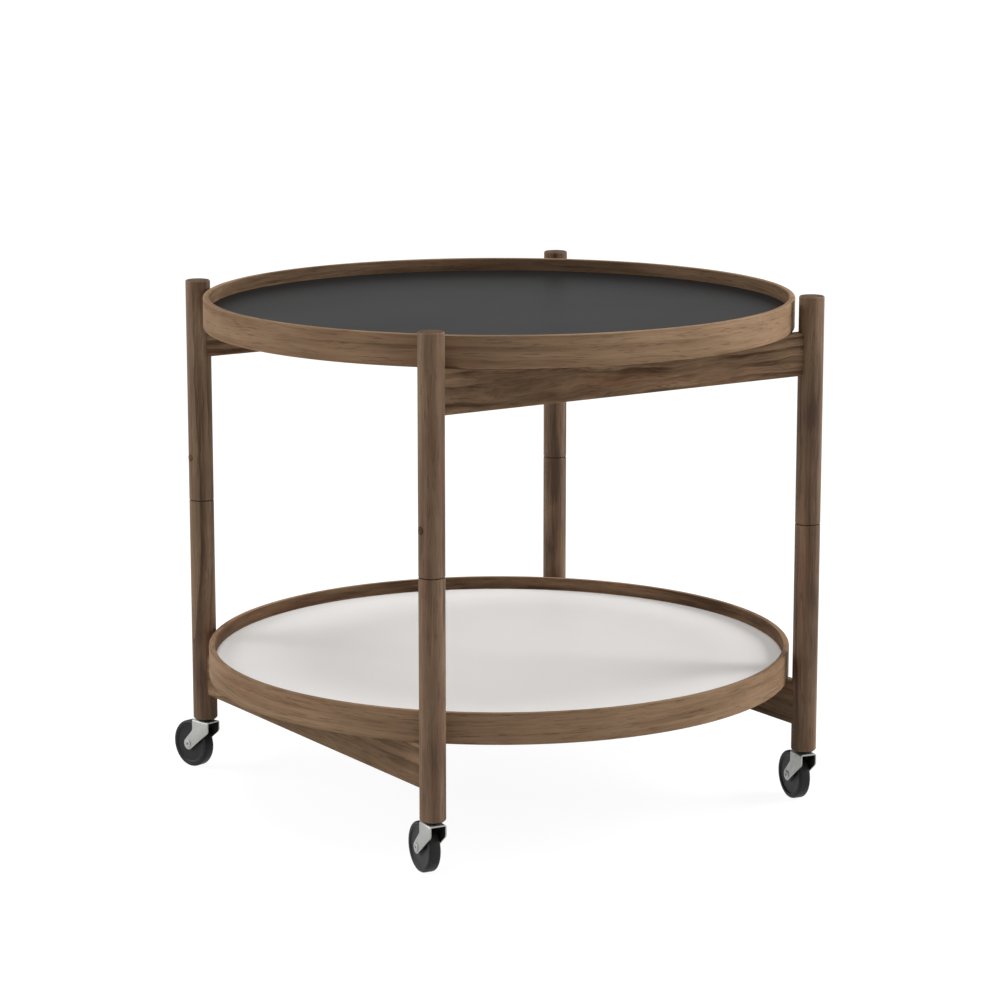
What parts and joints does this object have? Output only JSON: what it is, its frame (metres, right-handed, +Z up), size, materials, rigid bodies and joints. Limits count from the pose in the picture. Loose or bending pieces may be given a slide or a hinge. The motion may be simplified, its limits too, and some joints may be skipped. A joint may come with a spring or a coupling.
{
  "type": "tray table",
  "caption": "Low round side table on casters: lift-off trays with bent-wood rims sit one above the other on the rails of a hinged frame of round legs.",
  "frame": {"origin": "on the floor, under the middle of the trays", "axes": "+Z up; +X along the upper rails, from the front leg to the right leg; +Y along the lower rails"},
  "size_m": [0.6, 0.6, 0.524],
  "materials": {
    "dark_wood": "oiled, low sheen",
    "plug_wood": "oiled, low sheen",
    "board": "raw, hidden",
    "dark_laminate": "fine matt",
    "light_laminate": "fine matt",
    "zinc_steel": "zinc plated, satin",
    "bright_steel": "turned, hidden",
    "dark_nylon": "matt",
    "black_plastic": "satin",
    "tyre": "matt"
  },
  "bodies": {
    "lower_frame_left": {"lower_leg_front": "dark_wood", "lower_leg_left": "dark_wood", "lower_rail_left": "dark_wood", "lower_dowels_left": "dark_wood", "pivot_pins_left": "bright_steel", "pivot_washers_left": "dark_nylon", "caster_sockets_left": "dark_nylon", "caster_stem_front": "zinc_steel", "caster_stem_left": "zinc_steel", "caster_race_front": "black_plastic", "caster_race_left": "black_plastic"},
    "lower_frame_right": {"lower_leg_right": "dark_wood", "lower_leg_back": "dark_wood", "lower_rail_right": "dark_wood", "lower_dowels_right": "dark_wood", "pivot_pins_right": "bright_steel", "pivot_washers_right": "dark_nylon", "caster_sockets_right": "dark_nylon", "caster_stem_right": "zinc_steel", "caster_stem_back": "zinc_steel", "caster_race_right": "black_plastic", "caster_race_back": "black_plastic"},
    "upper_frame_front": {"upper_leg_front": "dark_wood", "upper_leg_right": "dark_wood", "upper_rail_front": "dark_wood", "upper_dowels_front": "dark_wood", "locking_screws_front": "bright_steel", "screw_plugs_front": "plug_wood"},
    "upper_frame_back": {"upper_leg_back": "dark_wood", "upper_leg_left": "dark_wood", "upper_rail_back": "dark_wood", "upper_dowels_back": "dark_wood", "locking_screws_back": "bright_steel", "screw_plugs_back": "plug_wood"},
    "top_tray": {"top_tray_rim": "dark_wood", "top_tray_core": "board", "top_tray_dark_laminate": "dark_laminate", "top_tray_light_laminate": "light_laminate"},
    "lower_tray": {"lower_tray_rim": "dark_wood", "lower_tray_core": "board", "lower_tray_dark_laminate": "dark_laminate", "lower_tray_light_laminate": "light_laminate"},
    "fork_front": {"caster_fork_front": "zinc_steel", "caster_axle_front": "zinc_steel"},
    "wheel_front": {"caster_wheel_core_front": "black_plastic", "caster_tyre_front": "tyre"},
    "fork_right": {"caster_fork_right": "zinc_steel", "caster_axle_right": "zinc_steel"},
    "wheel_right": {"caster_wheel_core_right": "black_plastic", "caster_tyre_right": "tyre"},
    "fork_back": {"caster_fork_back": "zinc_steel", "caster_axle_back": "zinc_steel"},
    "wheel_back": {"caster_wheel_core_back": "black_plastic", "caster_tyre_back": "tyre"},
    "fork_left": {"caster_fork_left": "zinc_steel", "caster_axle_left": "zinc_steel"},
    "wheel_left": {"caster_wheel_core_left": "black_plastic", "caster_tyre_left": "tyre"}
  },
  "joints": [
    {"name": "frame_fold", "type": "hinge", "parent": "lower_frame_left", "child": "upper_frame_front", "pos_m": [-0.225, -0.225, 0.292], "axis": [0, 0, 1], "range_deg": [-0.9, 0.9]},
    {"name": "frame_fold_back", "type": "hinge", "parent": "lower_frame_left", "child": "upper_frame_back", "pos_m": [-0.225, 0.225, 0.292], "axis": [0, 0, 1], "range_deg": [-0.9, 0.9]},
    {"name": "frame_fold_right", "type": "hinge", "parent": "upper_frame_front", "child": "lower_frame_right", "pos_m": [0.225, -0.225, 0.292], "axis": [0, 0, 1], "range_deg": [-0.9, 0.9]},
    {"name": "top_tray_lift", "type": "slide", "parent": "upper_frame_front", "child": "top_tray", "axis": [0, 0, 1], "range_m": [0, 0.15]},
    {"name": "lower_tray_lift", "type": "slide", "parent": "lower_frame_left", "child": "lower_tray", "axis": [0, 0, 1], "range_m": [0, 0.28]},
    {"name": "caster_swivel_front", "type": "hinge", "parent": "lower_frame_left", "child": "fork_front", "pos_m": [-0.225, -0.225, 0.056], "axis": [0, 0, 1], "continuous": true},
    {"name": "wheel_spin_front", "type": "hinge", "parent": "fork_front", "child": "wheel_front", "pos_m": [-0.22269, -0.20614, 0.025], "axis": [-0.9925, 0.1219, 0], "continuous": true},
    {"name": "caster_swivel_right", "type": "hinge", "parent": "lower_frame_right", "child": "fork_right", "pos_m": [0.225, -0.225, 0.056], "axis": [0, 0, 1], "continuous": true},
    {"name": "wheel_spin_right", "type": "hinge", "parent": "fork_right", "child": "wheel_right", "pos_m": [0.22863, -0.20635, 0.025], "axis": [-0.9816, 0.1908, 0], "continuous": true},
    {"name": "caster_swivel_back", "type": "hinge", "parent": "lower_frame_right", "child": "fork_back", "pos_m": [0.225, 0.225, 0.056], "axis": [0, 0, 1], "continuous": true},
    {"name": "wheel_spin_back", "type": "hinge", "parent": "fork_back", "child": "wheel_back", "pos_m": [0.22434, 0.24399, 0.025], "axis": [-0.9994, -0.0349, 0], "continuous": true},
    {"name": "caster_swivel_left", "type": "hinge", "parent": "lower_frame_left", "child": "fork_left", "pos_m": [-0.225, 0.225, 0.056], "axis": [0, 0, 1], "continuous": true},
    {"name": "wheel_spin_left", "type": "hinge", "parent": "fork_left", "child": "wheel_left", "pos_m": [-0.2296, 0.24344, 0.025], "axis": [-0.9703, -0.2419, 0], "continuous": true}
  ],
  "couplings": [
    {"joint": "frame_fold_back", "follows": "frame_fold", "ratio": 1},
    {"joint": "frame_fold_right", "follows": "frame_fold", "ratio": -1}
  ]
}
